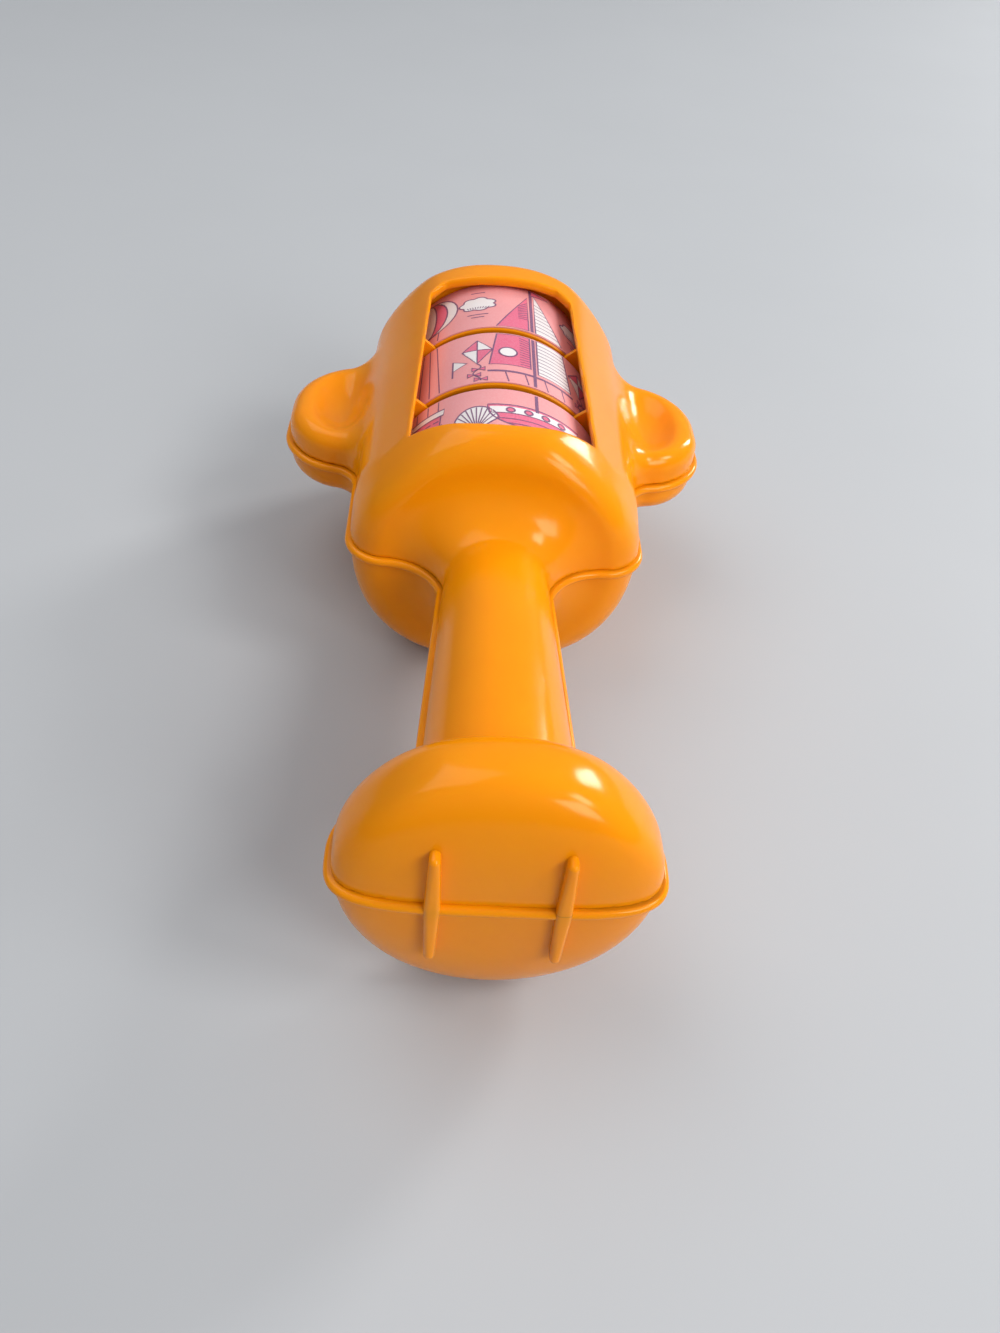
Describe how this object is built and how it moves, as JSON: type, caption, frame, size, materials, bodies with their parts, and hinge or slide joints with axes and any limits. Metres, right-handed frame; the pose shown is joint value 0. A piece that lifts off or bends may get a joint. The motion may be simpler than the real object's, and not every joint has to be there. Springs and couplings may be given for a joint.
{
  "type": "face puzzle rattle",
  "caption": "Baby rattle with a bulb foot, a round handle and an eared head whose window shows printed drums that turn one by one on a shared axle to mix and match a picture.",
  "frame": {"origin": "middle of the bounding box's lowest plane, under the round back on which the toy lies", "axes": "+X across the ears, +Y from the foot to the crown along the axle, +Z out of the face"},
  "size_m": [0.1026, 0.1824, 0.0622],
  "materials": {
    "case": "moulded, satin gloss",
    "drum": "moulded, satin gloss",
    "print": "printed film, semi-gloss",
    "axle": "drawn wire",
    "pellet": "plain"
  },
  "bodies": {
    "case": {"front_shell": "case", "back_shell": "case", "axle": "axle"},
    "top_drum_body": {"top_drum": "drum", "top_cap": "drum", "top_band": "print", "top_pellets": "pellet"},
    "middle_drum_body": {"middle_drum": "drum", "middle_cap": "drum", "middle_band": "print", "middle_pellets": "pellet"},
    "bottom_drum_body": {"bottom_drum": "drum", "bottom_cap": "drum", "bottom_band": "print", "bottom_pellets": "pellet"}
  },
  "joints": [
    {"name": "top_spin", "type": "hinge", "parent": "case", "child": "top_drum_body", "pos_m": [0, 0.06835, 0.0335], "axis": [0, 1, 0], "continuous": true},
    {"name": "middle_spin", "type": "hinge", "parent": "case", "child": "middle_drum_body", "pos_m": [0, 0.04225, 0.0335], "axis": [0, 1, 0], "continuous": true},
    {"name": "bottom_spin", "type": "hinge", "parent": "case", "child": "bottom_drum_body", "pos_m": [0, 0.01615, 0.0335], "axis": [0, 1, 0], "continuous": true}
  ]
}
